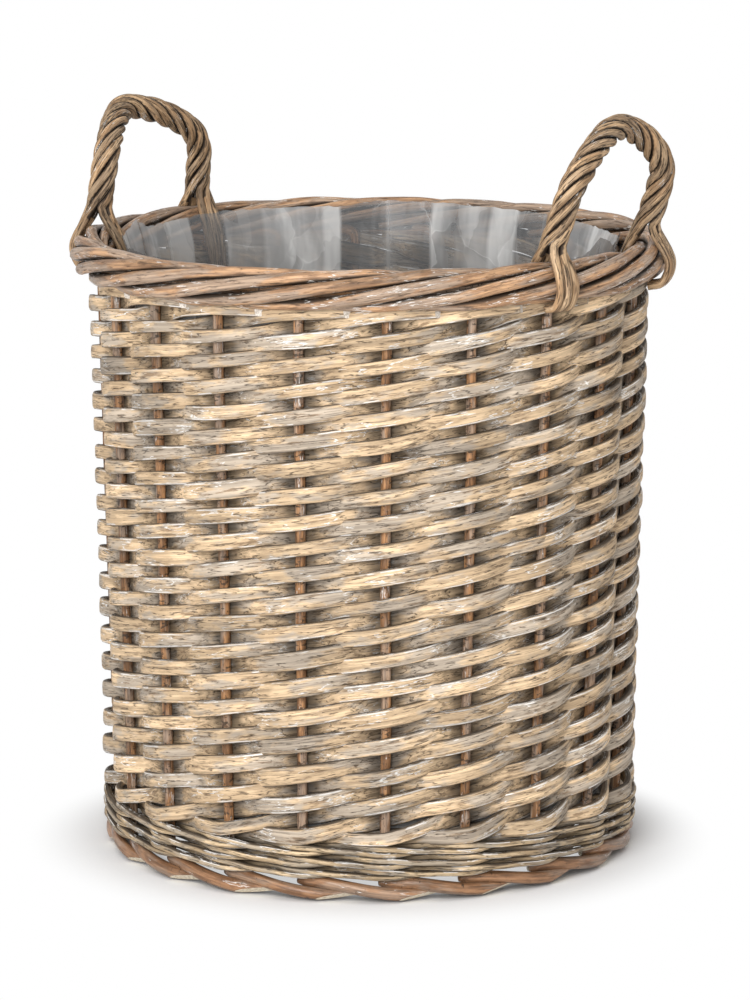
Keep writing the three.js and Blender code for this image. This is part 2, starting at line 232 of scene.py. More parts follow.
stakeLook = {
    "pale": rgb(0.50, 0.295, 0.16),
    "mid": rgb(0.31, 0.175, 0.095),
    "freshPale": rgb(0.44, 0.225, 0.10),
    "freshMid": rgb(0.22, 0.11, 0.05),
    "grey": rgb(0.37, 0.30, 0.24),
    "brown": rgb(0.09, 0.05, 0.028),
    "dark": rgb(0.03, 0.02, 0.014),
    "wash": rgb(0.88, 0.85, 0.81),
    "greyShare": 0.6,
    "brownShare": 0.85,
    "crackShare": 0.75,
    "crackWidth": 0.02,
    # painted shade in the grooves of the rolled border
    "edgeShare": 0.95,
    "edge": (0.54, 0.92),
    "rimShare": 0,
    "markFrom": 0.57,
    "washFrom": 0.58,
    "shadow": 0.45,
    "roughness": (0.38, 0.65),
    "bump": 0.5,
}
footLook = dict(
    stakeLook,
    freshPale=rgb(0.37, 0.195, 0.10),
    freshMid=rgb(0.21, 0.105, 0.052),
    edge=(0.48, 0.84),
    greyShare=0.4,
    brownShare=0.5,
    crackShare=0.5,
    markFrom=0.66,
    washFrom=0.60,
    roughness=(0.3, 0.5),
    bump=0.3,
)
handleLook = dict(
    weaverLook,
    pale=rgb(0.56, 0.375, 0.215),
    mid=rgb(0.37, 0.225, 0.118),
    grey=rgb(0.30, 0.25, 0.19),
    brown=rgb(0.05, 0.03, 0.016),
    dark=rgb(0.03, 0.018, 0.01),
    greyShare=0.3,
    brownShare=0.9,
    crackShare=0.95,
    crackWidth=0.055,
    # painted shade deep in the rope's grooves
    edgeShare=0.97,
    edge=(0.30, 0.62),
    rimShare=0,
    washFrom=0.60,
)
baseLook = dict(weaverLook, pale=rgb(0.52, 0.39, 0.24), mid=rgb(0.38, 0.27, 0.16), edgeShare=0)

barkGrain = {  # stretch along and across the rod, shift, detail and roughness of each pattern
    "patches": ((34, 230, 230), (0, 0, 0), 5, 0.65),
    "greys": ((24, 110, 110), (4, 9, 2), 4, 0.6),
    "browns": ((55, 500, 500), (1, 5, 3), 5, 0.68),
    "flecks": ((150, 700, 700), (3, 3, 6), 3, 0.55),
    "marks": ((420, 210, 210), (3, 3, 6), 2, 0.55),
    "washes": ((38, 100, 100), (2, 8, 5), 3, 0.6),
    "lines": ((28, 600, 600), (7, 2, 8), 3, 0.5),
    "fibres": ((14, 700, 700), (2, 6, 1), 3, 0.6),
    "scratches": ((34, 330, 330), (5, 1, 4), 4, 0.55),
}
barkRange = {  # where a pattern begins to show and where it is full
    "patches": (0.43, 0.57),
    "greys": (0.47, 0.58),
    "browns": (0.53, 0.66),
    "flecks": (0.42, 0.52),
    "fibres": (0.34, 0.66),
    "rough": (0.35, 0.7),
    "rimStart": (0.50, 0.62),
    "rimEnd": (0.70, 0.82),
    "rimWash": (0.67, 0.72),
    "washWidth": 0.04,
    "markWidth": 0.07,
    "scratchWidth": 0.02,
}


def barkMaterial(name, look):
    material, start = newMaterial(name)
    grain = start.attribute("rodGrain", 1)  # along the rod, then across it, in metres
    # random tone, and painted shade where a rod is tucked in
    tone = start.attribute("rodToneAndShade")
    edge = start.attribute("rodEdge")  # 0 on the face, 1 where it meets its neighbours, where shade is painted
    worn = start.attribute("rodWorn")
    cloud = {}
    for key, (scale, shift, detail, roughness) in barkGrain.items():
        cloud[key] = grain.stretched(scale, shift).cloud(detail, roughness)
    patches, browns, flecks = cloud["patches"], cloud["browns"], cloud["flecks"]
    greys = cloud["greys"] + worn * 0.02
    line = cloud["lines"].ridge(look["crackWidth"]) * flecks.between(*barkRange["flecks"])
    scratch = cloud["scratches"].ridge(barkRange["scratchWidth"])
    washFrom, markFrom = look["washFrom"], look["markFrom"]
    washes = cloud["washes"] + edge * 0.06 + worn * 0.03
    white = scratch * washes.between(washFrom, washFrom + barkRange["washWidth"])
    patch = patches.between(*barkRange["patches"])
    colour = patch.blend(look["mid"], look["pale"])
    if "freshMid" in look:
        colour = worn.blend(patch.blend(look["freshMid"], look["freshPale"]), colour)
    colour = (greys.between(*barkRange["greys"]) * look["greyShare"]).blend(colour, look["grey"])
    colour = (browns.between(*barkRange["browns"]) * look["brownShare"]).blend(colour, look["brown"])
    colour = colour.shaded(cloud["fibres"].between(*barkRange["fibres"]) * 0.5 + 0.75)
    colour = (line * look["crackShare"]).blend(colour, look["dark"])
    marks = (cloud["marks"] - worn * 0.2).between(markFrom, markFrom + barkRange["markWidth"])
    colour = (marks * 0.8).blend(colour, look["dark"])
    # painted shade in the crevices between rods and the grooves of a roll or rope
    colour = (edge.between(*look["edge"]) * look["edgeShare"]).blend(colour, look["dark"])
    rim = edge.between(*barkRange["rimStart"]) * (1 - edge.between(*barkRange["rimEnd"]))
    rim = rim * (cloud["washes"] + flecks * 0.3).between(*barkRange["rimWash"])
    white = (white * 0.9).larger(rim * look["rimShare"])
    colour = white.blend(colour, look["wash"])
    # darker by random tone, and by painted shade where a rod is tucked in
    colour = tone.blend(colour.shaded(look["shadow"]), colour)
    low, high = look["roughness"]
    rough = browns.between(*barkRange["rough"]) * (high - low) + low
    height = patches * 0.6 - browns * 0.5 - line * 0.5 + white * 0.2
    relief = start.make("Bump", {}, {"Strength": look["bump"], "Distance": 0.0008, "Height": height})
    sockets = {"Base Color": colour, "Roughness": rough, "Specular IOR Level": 0.35, "Normal": relief}
    finishMaterial(start, start.make("BsdfPrincipled", {}, sockets))
    return material


cutLook = {
    "pale": rgb(0.80, 0.72, 0.58),
    "ring": rgb(0.46, 0.36, 0.24),
    "roughness": 0.75,
    "grain": (500, 900, 900),
    "rings": (0.4, 0.7),
    "bump": 0.4,
}
greyCutLook = dict(cutLook, pale=rgb(0.66, 0.61, 0.55), ring=rgb(0.36, 0.31, 0.25))
darkCutLook = dict(cutLook, pale=rgb(0.30, 0.19, 0.11), ring=rgb(0.14, 0.08, 0.05))


def cutMaterial(name, look):
    material, start = newMaterial(name)
    fibres = start.attribute("rodGrain", 1).stretched(look["grain"]).cloud(3)
    colour = fibres.between(*look["rings"]).blend(look["pale"], look["ring"])
    relief = start.make("Bump", {}, {"Strength": look["bump"], "Distance": 0.0004, "Height": fibres})
    sockets = {"Base Color": colour, "Roughness": look["roughness"], "Normal": relief}
    finishMaterial(start, start.make("BsdfPrincipled", {}, sockets))
    return material


bark = {
    "weaver": barkMaterial("weaverBark", weaverLook),
    "wale": barkMaterial("waleBark", waleLook),
    "stake": barkMaterial("stakeBark", stakeLook),
    "foot": barkMaterial("footBark", footLook),
    "handle": barkMaterial("handleBark", handleLook),
    "base": barkMaterial("baseBark", baseLook),
}
cutWood = cutMaterial("cutWood", cutLook)
greyCut = cutMaterial("greyCutWood", greyCutLook)
darkCut = cutMaterial("darkCutWood", darkCutLook)
print("bark and cut wood ready")


# Rods: a path, a size at each point and a section swept along it

rodSurface = {
    "tones": (0.6, 1.0),  # from rod to rod
    "toneDrift": 0.3,  # along a rod
    "driftPitch": 7,
    "lumpPitch": (38, 260),  # along and across
    "finePitch": (140, 420),
    "fineShare": 0.5,
    "shifts": (0, 40),
    "edgeSpread": 1.3,
}


def sectionCurve(name, corners, squareness):
    curve = bpy.data.curves.new(name, "CURVE")
    curve.dimensions = "2D"
    spline = curve.splines.new("POLY")
    spline.points.add(corners - 1)
    spline.use_cyclic_u = True
    for i, point in enumerate(spline.points):
        turn = -2 * math.pi * i / corners  # this way round, the swept faces look outward
        across, up = math.cos(turn), math.sin(turn)
        power = 2 / squareness
        across = math.copysign(abs(across) ** power, across)
        up = math.copysign(abs(up) ** power, up)
        point.co = (across, up, 0, 1)
    return placed(name, curve)


def sweepRods(name, rods, section, twist):
    curve = bpy.data.curves.new(name + "Path", "CURVE")
    curve.dimensions = "3D"
    curve.twist_mode = twist
    curve.bevel_mode = "OBJECT"
    curve.bevel_object = section
    for rod in rods:
        spline = curve.splines.new("POLY")
        spline.points.add(len(rod["path"]) - 1)
        for point, place, size in zip(spline.points, rod["path"], rod["sizes"]):
            point.co = (*place, 1)
            point.radius = size
    holder = placed(name + "Path", curve)
    graph = bpy.context.evaluated_depsgraph_get()
    mesh = bpy.data.meshes.new_from_object(holder.evaluated_get(graph))
    mesh.name = name
    bpy.data.objects.remove(holder)
    bpy.data.curves.remove(curve)
    return mesh


# how near a point is to where a rod meets its neighbours: painted shade and the edge wash go there
def edgeShare(rod, step, turn, out):
    if rod.get("flat"):  # flat rods meet at top and bottom
        return abs(math.sin(turn))
    heart = rod["hearts"][step] if "hearts" in rod else None
    if heart is None:
        return 0.0
    facing = out.normalized().dot((rod["path"][step] - heart).normalized())
    return min(1.0, max(0.0, (1 - facing) / rodSurface["edgeSpread"]))  # coiled ones toward the heart


def dressRods(mesh, rods, corners, dice, lumps):
    grains, tones, edges, wear = [], [], [], []
    coarseAlong, coarseAcross = rodSurface["lumpPitch"]
    fineAlong, fineAcross = rodSurface["finePitch"]
    at = 0
    for rod in rods:
        path = rod["path"]
        shift = dice.uniform(*rodSurface["shifts"])
        tone = dice.uniform(*rodSurface["tones"])
        along = 0.0
        for i, place in enumerate(path):
            if i:
                along += (place - path[i - 1]).length
            drift = noise.noise(Vector((along * rodSurface["driftPitch"] + shift, shift, 0.5)))
            drift *= rodSurface["toneDrift"]
            shade = rod["shade"][i] if "shade" in rod else 1.0
            for corner in range(corners):
                turn = 2 * math.pi * corner / corners
                across, up = math.cos(turn) * rod["sizes"][i], math.sin(turn) * rod["sizes"][i]
                spot = Vector((along * coarseAlong + shift, across * coarseAcross, up * coarseAcross))
                fine = Vector((along * fineAlong, across * fineAcross + shift, up * fineAcross))
                bump = noise.noise(spot) + rodSurface["fineShare"] * noise.noise(fine)
                vertex = mesh.vertices[at]
                vertex.co = place + (vertex.co - place) * (1 + lumps * bump)
                grains += [along + shift, across, up]
                # random tone of the rod, times the painted shade where it is tucked in
                tones.append(min(1.0, max(0.0, (tone + drift) * shade)))
                edges.append(edgeShare(rod, i, turn, vertex.co - place))
                wear.append(rod["worn"][i] if "worn" in rod else 0.0)
                at += 1
    mesh.attributes.new("rodGrain", "FLOAT_VECTOR", "POINT").data.foreach_set("vector", grains)
    for name, values in (("rodToneAndShade", tones), ("rodEdge", edges), ("rodWorn", wear)):
        mesh.attributes.new(name, "FLOAT", "POINT").data.foreach_set("value", values)


def closeEnds(mesh, rods, corners):
    shell = bmesh.new()
    shell.from_mesh(mesh)
    shell.verts.ensure_lookup_table()
    tails = []
    at = 0
    for rod in rods:
        at += len(rod["path"]) * corners
        if "cut" in rod:
            tails.append((shell.verts[at - rod["cut"]["rings"] * corners:at], rod["cut"]))
    for near, cut in tails:  # slanting cuts at the ends
        edges = {edge for vert in near for edge in vert.link_edges}
        faces = {face for vert in near for face in vert.link_faces}
        bmesh.ops.bisect_plane(shell, geom=[*near, *edges, *faces], plane_co=cut["place"],
                               plane_no=cut["facing"], clear_outer=True)
    rims = [edge for edge in shell.edges if edge.is_boundary]
    for face in bmesh.ops.holes_fill(shell, edges=rims, sides=0)["faces"]:
        face.material_index = 1
        face.smooth = False
    bmesh.ops.recalc_face_normals(shell, faces=shell.faces)
    shell.to_mesh(mesh)
    shell.free()


def rodPiece(name, rods, section, kind, node, twist="MINIMUM", lumps=0.05, ends=None):
    dice = random.Random(basket["seed"] + sum(map(ord, name)))
    corners = len(section.data.splines[0].points)
    mesh = sweepRods(name, rods, section, twist)
    dressRods(mesh, rods, corners, dice, lumps)
    for face in mesh.polygons:
        face.use_smooth = True
    mesh.materials.append(bark[kind])
    mesh.materials.append(ends or cutWood)
    closeEnds(mesh, rods, corners)
    piece = placed(name, mesh)
    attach(piece, "root")
    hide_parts(node)


roundSection = sectionCurve("roundSection", 12, 2.0)
sections = [roundSection]

# Side stakes, each with its border tail

stakeShape = {
    "lowEnd": 15.8,
    "wallSteps": 31,
    "lean": 0.35,  # degrees it strays sideways
    "unevenness": 0.08,
    "bendStart": 385.5,
    "kneeRadius": 180.6,
    "kneeHeight": 391.8,
    "kneeSteps": 8,
    "layRadius": 8.8,
    "layWander": 1.1,
    "sag": 1.16,  # the underside of the roll sinks onto the weave
    "strandRadius": 4.1,
    "strandUnevenness": 0.2,
    "tailRadius": 2.6,
    "taperFrom": 0.65,
    "heartRadius": 5.2,
    "heartOverlap": 3,
    "startAngle": -118,
    "anglePerStake": 62,
    "entry": 0.22,
    "span": 5.7,
    "steps": 14,
    "lumps": 0.06,
}


def borderPoint(shape, stake, on):
    turn = math.radians(shape["startAngle"] + shape["anglePerStake"] * (on - shape["entry"]))
    lay = shape["layRadius"] + wander(on * 1.7, stake, shape["layWander"])
    radius = basket["ringRadius"] + lay * math.cos(turn)
    rise = lay * math.sin(turn) * (shape["sag"] if math.sin(turn) < 0 else 1.0)
    return polar(radius, (stake + on) * basket["pitch"], basket["ringHeight"] + rise)


def stakeRod(shape, stake):
    bearing = stake * basket["pitch"]
    rise = shape["bendStart"] - shape["lowEnd"]
    path, sizes, worn = [], [], []
    for i in range(shape["wallSteps"]):
        height = shape["lowEnd"] + rise * i / shape["wallSteps"]
        stray = wander(height * 0.012, stake, shape["lean"])
        path.append(polar(stakeCircle(height), bearing + stray, height))
        uneven = 1 + wander(height * 0.02, stake + 40, shape["unevenness"])
        sizes.append(basket["stakeRadius"] * 0.001 * uneven)
        worn.append(0.0)
    start = polar(stakeCircle(shape["bendStart"]), bearing, shape["bendStart"])
    knee = polar(shape["kneeRadius"], bearing, shape["kneeHeight"])
    entry = borderPoint(shape, stake, shape["entry"])
    for i in range(shape["kneeSteps"] + 1):
        share = i / shape["kneeSteps"]
        path.append(start.lerp(knee, share).lerp(knee.lerp(entry, share), share))
        sizes.append(mixed(basket["stakeRadius"], shape["strandRadius"], share) * 0.001)
        worn.append(share)
    hearts = [None] * len(path)
    count = round((shape["span"] - shape["entry"]) * shape["steps"])
    for i in range(1, count + 1):
        share = i / count
        on = mixed(shape["entry"], shape["span"], share)
        path.append(borderPoint(shape, stake, on))
        taper = max(0.0, share - shape["taperFrom"]) / (1 - shape["taperFrom"])
        thick = mixed(shape["strandRadius"], shape["tailRadius"], eased(taper))
        sizes.append(thick * 0.001 * (1 + wander(share * 6, stake + 90, shape["strandUnevenness"])))
        worn.append(1.0)
        hearts.append(polar(basket["ringRadius"], (stake + on) * basket["pitch"], basket["ringHeight"]))
    return {"path": path, "sizes": sizes, "worn": worn, "hearts": hearts}


def heartRod(shape, stake):  # a filler that closes the hollow middle of the roll, darkened with painted shade
    path = []
    for i in range(shape["steps"] + shape["heartOverlap"]):
        bearing = (stake + i / shape["steps"]) * basket["pitch"]
        path.append(polar(basket["ringRadius"], bearing, basket["ringHeight"]))
    sizes = [shape["heartRadius"] * 0.001] * len(path)
    # painted shade all along
    return {"path": path, "sizes": sizes, "shade": [0.0] * len(path)}


for i in range(basket["stakes"]):
    number = f"{i + 1:02d}"
    rods = [stakeRod(stakeShape, i), heartRod(stakeShape, i)]
    rodPiece(f"stakeRod_{number}", rods, roundSection, "stake", f"stake_{number}",
             lumps=stakeShape["lumps"], ends=darkCut)
print("stakes and rolled border done")

# Weavers: each climbs one row per stake, inside and outside by turns

weaverShape = {
    "rows": 40,
    "first": 40.6,  # heights of the first rows
    "second": 43.0,
    "third": 55.8,
    "lowPitch": 9.75,
    "highPitch": 7.9,
    "reach": 6.6,  # stake circle to the middle of the rod
    "squareness": 0.88,  # below 1 it turns in more sharply beside a stake
    "bulge": 0.25,  # the lowest rows stand out further
    "bulgeRows": 9,
    "lowHeight": 11.4,  # a rod's height where it passes a stake
    "topHeight": 9.7,
    "lift": 0.7,  # higher where it passes outside
    "topLift": 1.9,  # the last row is pushed up against the border
    "liftRows": 2,
    "startHeight": 8.5,
    "startRows": 2.4,
    "inside": 1.5,  # taller where it is hidden inside
    "lowTail": 0.26,
    "topTail": 0.76,
    # painted shade: a rod is darkened where it passes in behind a stake
    "shadeFrom": 0.97,
    "shadeOver": 0.32,  # how soon a rod coming out from behind a stake is out of its painted shade
    "shadeLow": 0.08,
    "heightWander": 1.9,
    "reachWander": 0.5,
    "unevenness": 0.28,
    "steadyRows": 4,  # below this row the rods keep their places
    "tailReach": 4.0,
    "tailRise": 2.0,
    "tailSize": 0.95,
    "flatness": 0.50,
    "corners": 16,
    "boxiness": 3.6,
    "cutBack": -3,
    "cutRings": 8,
    "cutFacing": (0.5, 0.87),  # along the rod and outward
    "lumps": 0.06,
    "steps": 12,
}


def rowHeight(shape, row):
    if row <= 2:
        knots = [shape["first"], shape["second"], shape["third"]]
        below = min(1, max(0, math.floor(row)))
        return mixed(knots[below], knots[below + 1], row - below)
    above = row - 2
    closing = (shape["highPitch"] - shape["lowPitch"]) / (2 * (shape["rows"] - 3))
    return shape["third"] + above * shape["lowPitch"] + above * above * closing


def weaverSize(shape, row):
    last = shape["rows"] - 1
    full = mixed(shape["lowHeight"], shape["topHeight"], row / last)
    full = mixed(shape["startHeight"], full, min(1.0, row / shape["startRows"]))
    return full * mixed(1.0, shape["inside"], eased(max(0.0, math.cos(math.pi * row))))


def weaverRod(shape, weaver):
    last = shape["rows"] - 1
    path, sizes, shade = [], [], []
    count = round((last + shape["lowTail"] + shape["topTail"]) * shape["steps"])
    for i in range(count + 1):
        row = mixed(-shape["lowTail"], last + shape["topTail"], i / count)
        held = min(last, max(0.0, row))
        swing = math.cos(math.pi * held)
        out = -shape["reach"] * math.copysign(abs(swing) ** shape["squareness"], swing)
        out += max(0.0, out) * shape["bulge"] * max(0.0, 1 - held / shape["bulgeRows"])
        loose = min(1.0, held / shape["steadyRows"])
        height = rowHeight(shape, held) + shape["lift"] * out / shape["reach"] * loose
        height += wander(row * 0.9, weaver + 11, shape["heightWander"]) * loose
        lifted = max(0.0, held - last + shape["liftRows"]) / shape["liftRows"]
        height += shape["topLift"] * eased(lifted)
        tail = max(0.0, row - last) / shape["topTail"]
        if row > last:
            out = mixed(shape["reach"], shape["tailReach"], tail)
            height += tail * shape["tailRise"]
        radius = stakeCircle(height) + out + wander(row * 0.7, weaver + 60, shape["reachWander"])
        path.append(polar(radius, (weaver + row) * basket["pitch"], height))
        taper = mixed(1.0, shape["tailSize"], tail)
        uneven = 1 + wander(row * 0.6, weaver + 25, shape["unevenness"])
        sizes.append(weaverSize(shape, held) / 2 * 0.001 * taper * uneven)
        # painted shade, darkest where the rod lies in behind a stake
        shown = (out / shape["reach"] + shape["shadeFrom"]) / shape["shadeOver"]
        shade.append(mixed(shape["shadeLow"], 1.0, eased(min(1.0, max(0.0, shown)))))
    return {"path": path, "sizes": sizes, "shade": shade, "flat": True}


weaverSection = sectionCurve("weaverSection", weaverShape["corners"], weaverShape["boxiness"])
sections.append(weaverSection)
for point in weaverSection.data.splines[0].points:  # thinner than it is tall
    point.co.x *= weaverShape["flatness"]
for i in range(basket["stakes"]):
    number = f"{i + 1:02d}"
    rod = weaverRod(weaverShape, i)
    end, place = rod["path"][-1], rod["path"][weaverShape["cutBack"]]
    outward = Vector((end.x, end.y, 0)).normalized()
    along, out = weaverShape["cutFacing"]
    facing = (end - place).normalized() * along + outward * out
    rod["cut"] = {"place": place, "facing": facing, "rings": weaverShape["cutRings"]}
    rodPiece(f"weaverRod_{number}", [rod], weaverSection, "weaver", f"weaver_{number}",
             twist="Z_UP", lumps=weaverShape["lumps"], ends=greyCut)
print("weavers done")

# Upsett wale: three rods over two stakes and behind one

waleShape = {
    "rods": 3,
    "height": 3.9,
    "depth": 5.2,
    "pitch": 3.8,
    "lowest": 17.7,
    "rounds": 3,
    "reach": 6.6,
    "bulge": 0.28,
    "climb": 3,
    "firstStake": 8,
    "across": (-1, 0, 1, 1, 1, 0),  # inside to outside, by half stakes
    "rise": (0.5, 1, 1, 0.5, 0, 0),
    "heightWander": 0.8,
    "unevenness": 0.2,
    "shadeLow": 0.1,
    "corners": 12,
    "boxiness": 2.3,
    "lumps": 0.06,
    "steps": 6,
}


def waleLevel(shape, stake):
    turns = math.floor(stake / basket["stakes"])
    on = stake - turns * basket["stakes"]
    climbed = max(0, on - (basket["stakes"] - shape["climb"])) / shape["climb"]
    return shape["lowest"] + (turns + climbed) * 2 * shape["pitch"]


def waleRod(shape, rod):
    reach = shape["reach"]
    acrossAt, riseAt = shape["across"], shape["rise"]
    path, sizes, shade = [], [], []
    last = shape["rounds"] * basket["stakes"] - shape["climb"]
    count = (last - rod) * 2 * shape["steps"]
    for i in range(count + 1):
        halves = i / shape["steps"]
        near, share = int(halves) % len(acrossAt), eased(halves - int(halves))
        following = (near + 1) % len(acrossAt)
        across = mixed(acrossAt[near], acrossAt[following], share) * reach
        across += max(0.0, across) * shape["bulge"]
        stake = rod + halves / 2
        level = waleLevel(shape, stake)
        height = level + mixed(riseAt[near], riseAt[following], share) * shape["pitch"]
        height += wander(halves * 0.5, rod + 5, shape["heightWander"])
        bearing = (shape["firstStake"] + stake) * basket["pitch"]
        path.append(polar(stakeCircle(level) + across, bearing, height))
        uneven = 1 + wander(halves * 0.3, rod + 9, shape["unevenness"])
        sizes.append(shape["height"] / 2 * 0.001 * uneven)
        # painted shade on the inside passes
        shade.append(mixed(shape["shadeLow"], 1.0, eased(min(1.0, (across / reach + 1) / 2))))
    return {"path": path, "sizes": sizes, "shade": shade, "flat": True}


waleSection = sectionCurve("waleSection", waleShape["corners"], waleShape["boxiness"])
sections.append(waleSection)
for point in waleSection.data.splines[0].points:
    point.co.x *= waleShape["depth"] / waleShape["height"]
for i in range(waleShape["rods"]):
    number = f"{i + 1:02d}"
    rodPiece(f"waleRod_{number}", [waleRod(waleShape, i)], waleSection, "wale", f"wale_rod_{number}",
             twist="Z_UP", lumps=waleShape["lumps"])
print("wale done")

# Foot border: short thick rods, high inside at the left, low outside at the right

footShape = {
    "ring": 170.4,
    "height": 8.15,
    "lay": 4.4,
    "radius": 4.2,
    "start": 128,
    "end": -62,
    "before": 0.08,  # in spaces between stakes
    "span": 1.8,
    "steps": 44,
    "bluntStart": 0.16,
    "bluntSteps": 4,
    "unevenness": 0.12,
    "cutBack": -9,
    "cutRings": 22,
    "cutFacing": (0.2, 0.52, 0.83),  # along the rod, outward and down
    "lumps": 0.03,
}


def footRod(shape, rod):
    path, sizes = [], []
    for i in range(shape["steps"] + 1):
        share = i / shape["steps"]
        turn = math.radians(mixed(shape["start"], shape["end"], math.sin(share * math.pi / 2)))
        radius = shape["ring"] + shape["lay"] * math.cos(turn)
        height = shape["height"] + shape["lay"] * math.sin(turn)
        on = mixed(-shape["before"], shape["span"], share)
        path.append(polar(radius, (rod + on) * basket["pitch"], height))
        blunt = math.sqrt(min(1.0, shape["bluntStart"] + i / shape["bluntSteps"]))
        uneven = 1 + wander(share * 2, rod + 33, shape["unevenness"])
        sizes.append(shape["radius"] * 0.001 * blunt * uneven)
    return {"path": path, "sizes": sizes}


footRods = [footRod(footShape, i) for i in range(basket["stakes"])]
for rod in footRods:
    end = rod["path"][footShape["cutBack"]]
    outward = Vector((end.x, end.y, 0)).normalized()
    along, out, down = footShape["cutFacing"]
    facing = (rod["path"][-1] - end).normalized() * along + outward * out - Vector((0, 0, down))
    rod["cut"] = {"place": end, "facing": facing, "rings": footShape["cutRings"]}
rodPiece("footRods", footRods, roundSection, "foot", "foot_border", lumps=footShape["lumps"])
print("foot border done")

# Roped handles

handleShape = {
    "rods": ((15, 75), (135,), (195, 255), (315,)),  # where each strand's rods lie round the rope, degrees
    "radius": 2.8,
    "lay": 6.0,
    "turns": 3,
    "steps": 22,
    "foot": (186.4, 61.25, 421.2),  # radius, half width, height
    "shoulderHeight": 463.7,
    "standOff": 15.7,  # border's middle to a leg
    "spread": 5.6,
    "depth": 338.2,
    "hook": (189.0, 383.6),  # radius and height of the end under the border
    "hookBow": 2,
    "legRise": 1,
    "legDrop": 7,
    "insideTop": 381.6,
    "insideGap": 13.4,  # stake circle to a leg inside the wall
    "archSteps": 24,
    "legSteps": 4,
    "pathSteps": 190,
    "twistWander": 12,
    "layWander": 0.12,
    "unevenness": 0.18,
    "ropeReach": 0.009,  # further from the arch, a rod has left the rope
    "lumps": 0.08,
}
handles = {  # a radius comes with a half width or a height
    "a": {"bearing": 0, "shoulder": (189.8, 56.2), "top": (189.4, 493.7)},
    "b": {"bearing": 181.8, "shoulder": (173.2, 53.0), "top": (191.9, 486.0)},
}


def smoothPath(knots, steps):  # centripetal curve through the knots
    points = [knots[0] * 2 - knots[1], *knots, knots[-1] * 2 - knots[-2]]
    path = []
    for a, b, c, d in zip(points, points[1:], points[2:], points[3:]):
        gaps = [math.sqrt((q - p).length) for p, q in ((a, b), (b, c), (c, d))]
        for i in range(steps):
            on = gaps[1] * i / steps
            t0, t1, t2, t3 = -gaps[0], 0.0, gaps[1], gaps[1] + gaps[2]
            ab = a.lerp(b, (on - t0) / (t1 - t0))
            bc = b.lerp(c, (on - t1) / (t2 - t1))
            cd = c.lerp(d, (on - t2) / (t3 - t2))
            abc = ab.lerp(bc, (on - t0) / (t2 - t0))
            bcd = bc.lerp(cd, (on - t1) / (t3 - t1))
            path.append(abc.lerp(bcd, (on - t1) / (t2 - t1)))
    return path + [knots[-1]]


def evenPath(path, count):  # the same line with evenly spaced points
    lengths = [0.0]
    for before, after in zip(path, path[1:]):
        lengths.append(lengths[-1] + (after - before).length)
    even, at = [], 0
    for i in range(count + 1):
        want = lengths[-1] * i / count
        while at < len(path) - 2 and lengths[at + 1] < want:
            at += 1
        share = (want - lengths[at]) / (lengths[at + 1] - lengths[at])
        even.append(path[at].lerp(path[at + 1], share))
    return even


def legKnots(shape, bearing, outside, sideways):
    turn = bearing + math.degrees(sideways / basket["ringRadius"])
    ring, height = basket["ringRadius"], basket["ringHeight"]
    if outside:
        radius = ring + shape["standOff"]
        hookRadius, hookHeight = shape["hook"]
        bow = shape["hookBow"]
        return [polar(radius, turn, height + shape["legRise"]),
                polar(radius, turn, height - shape["legDrop"]),
                polar((radius + hookRadius) / 2 + bow, turn, hookHeight + bow),
                polar(hookRadius, turn, hookHeight)]
    top, low, gap = shape["insideTop"], shape["depth"], shape["insideGap"]
    return [polar(ring - shape["standOff"], turn, height + shape["legRise"]),
            polar(stakeCircle(top) - gap, turn, top),
            polar(stakeCircle(low) - gap, turn, low)]


def handleRods(shape, handle):
    bearing = handle["bearing"]
    footRadius, footHalf, footHeight = shape["foot"]
    shoulderRadius, halfWidth = handle["shoulder"]
    topRadius, topHeight = handle["top"]
    legAngle = math.degrees(math.asin(footHalf / footRadius))
    sideways = polar(halfWidth, bearing + 90, 0)
    shoulder = polar(shoulderRadius, bearing, shape["shoulderHeight"])
    arch = smoothPath([polar(footRadius, bearing - legAngle, footHeight), shoulder - sideways,
                       polar(topRadius, bearing, topHeight), shoulder + sideways,
                       polar(footRadius, bearing + legAngle, footHeight)], shape["archSteps"])
    count = shape["turns"] * shape["steps"]
    arch = evenPath(arch, count)
    strands = []
    for angles in shape["rods"]:
        rods = []
        for first in angles:
            rope = []
            for i, centre in enumerate(arch):
                tangent = (arch[min(i + 1, count)] - arch[max(i - 1, 0)]).normalized()
                across = tangent.cross(Vector((centre.x, centre.y, 0))).normalized()
                out = across.cross(tangent)
                twist = wander(i * 0.11, first + bearing, shape["twistWander"])
                turn = math.radians(first + 360 * i / shape["steps"] + twist)
                lay = 1 + wander(i * 0.08, first * 2 + bearing, shape["layWander"])
                lay *= shape["lay"] * 0.001
                rope.append(centre + (out * math.cos(turn) + across * math.sin(turn)) * lay)
            outside = math.cos(math.radians(first)) > 0
            shift = shape["spread"] * round(math.sin(math.radians(first)))
            knots = [*reversed(legKnots(shape, bearing - legAngle, outside, shift)), *rope[1:-1:2],
                     *legKnots(shape, bearing + legAngle, outside, -shift)]
            path = evenPath(smoothPath(knots, shape["legSteps"]), shape["pathSteps"])
            sizes, hearts = [], []
            for i, place in enumerate(path):
                uneven = 1 + wander(i * 0.06, first + bearing, shape["unevenness"])
                sizes.append(shape["radius"] * 0.001 * uneven)
                heart = min(arch, key=lambda spot: (spot - place).length)
                hearts.append(heart if (heart - place).length < shape["ropeReach"] else None)
            rods.append({"path": path, "sizes": sizes, "hearts": hearts})
        strands.append(rods)
    return strands


for letter, handle in handles.items():
    for i, rods in enumerate(handleRods(handleShape, handle)):
        number = f"{i + 1:02d}"
        rodPiece(f"handleRods_{letter}_{number}", rods, roundSection, "handle",
                 f"handle_{letter}_strand_{number}", lumps=handleShape["lumps"], ends=darkCut)
print("handles done")

# Base under the liner

